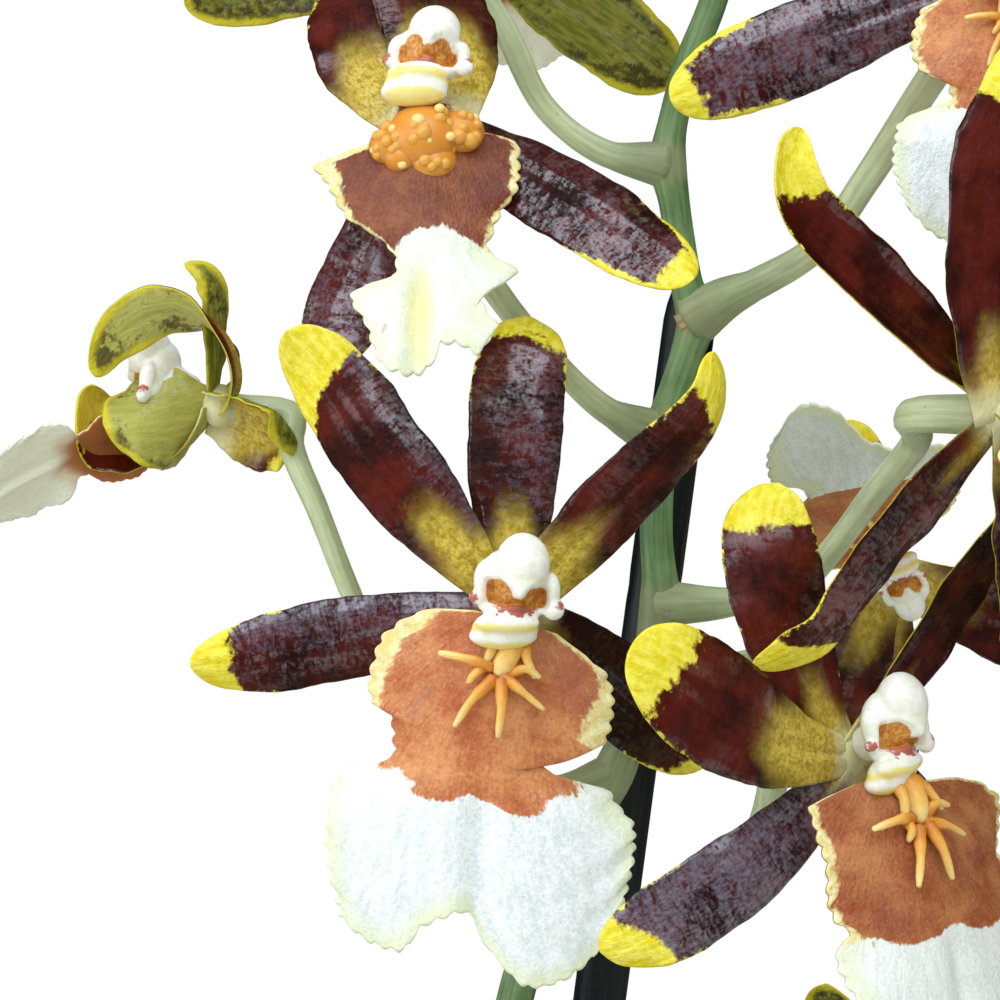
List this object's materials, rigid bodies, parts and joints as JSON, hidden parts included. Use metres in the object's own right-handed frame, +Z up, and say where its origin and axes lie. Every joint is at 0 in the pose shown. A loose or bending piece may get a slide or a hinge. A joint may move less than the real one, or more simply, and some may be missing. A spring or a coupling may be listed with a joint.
{
  "type": "potted orchid",
  "caption": "Flowering orchid in a round clay pot of bark: strap leaves, egg-shaped bulbs and a staked spike of maroon, yellow and white flowers.",
  "frame": {"origin": "middle of the flat underside of the pot, on the surface that it stands on", "axes": "+Z up along the pot's axis and the flower spike, -Y towards the side that the flowers face, +X right"},
  "size_m": [0.3582, 0.3494, 0.5741],
  "materials": {
    "clay": "plain unglazed clay",
    "bark": "rough dry bark chips",
    "bulb": "smooth ribbed green plant tissue",
    "leaf": "satin green plant tissue",
    "stem": "satin green plant tissue",
    "tepal": "glossy dark maroon petal with yellow tips",
    "lip": "matte brown and white petal",
    "column": "waxy white plant tissue",
    "root": "dull grey-green plant tissue",
    "stake": "dark coated rod",
    "clip": "satin green moulding"
  },
  "bodies": {
    "root": {"pot": "clay", "bark": "bark", "bulb_1": "bulb", "bulb_2": "bulb", "bulb_3": "bulb", "bulb_4": "bulb", "leaf_1": "leaf", "leaf_2": "leaf", "leaf_3": "leaf", "leaf_4": "leaf", "leaf_5": "leaf", "leaf_6": "leaf", "leaf_7": "leaf", "leaf_8": "leaf", "leaf_9": "leaf", "leaf_10": "leaf", "roots": "root", "stake": "stake", "clip_1": "clip", "clip_2": "clip", "spike": "stem", "bloom_1_tepals": "tepal", "bloom_1_lip": "lip", "bloom_1_column": "column", "bloom_2_tepals": "tepal", "bloom_2_lip": "lip", "bloom_2_column": "column", "bloom_3_tepals": "tepal", "bloom_3_lip": "lip", "bloom_3_column": "column", "bloom_4_tepals": "tepal", "bloom_4_lip": "lip", "bloom_4_column": "column", "bloom_5_tepals": "tepal", "bloom_5_lip": "lip", "bloom_5_column": "column", "bloom_6_tepals": "tepal", "bloom_6_lip": "lip", "bloom_6_column": "column", "bloom_7_tepals": "tepal", "bloom_7_lip": "lip", "bloom_7_column": "column", "bloom_8_tepals": "tepal", "bloom_8_lip": "lip", "bloom_8_column": "column", "bloom_9_tepals": "tepal", "bloom_9_lip": "lip", "bloom_9_column": "column", "bloom_10_tepals": "tepal", "bloom_10_lip": "lip", "bloom_10_column": "column", "bloom_11_tepals": "tepal", "bloom_11_lip": "lip", "bloom_11_column": "column"}
  },
  "joints": []
}
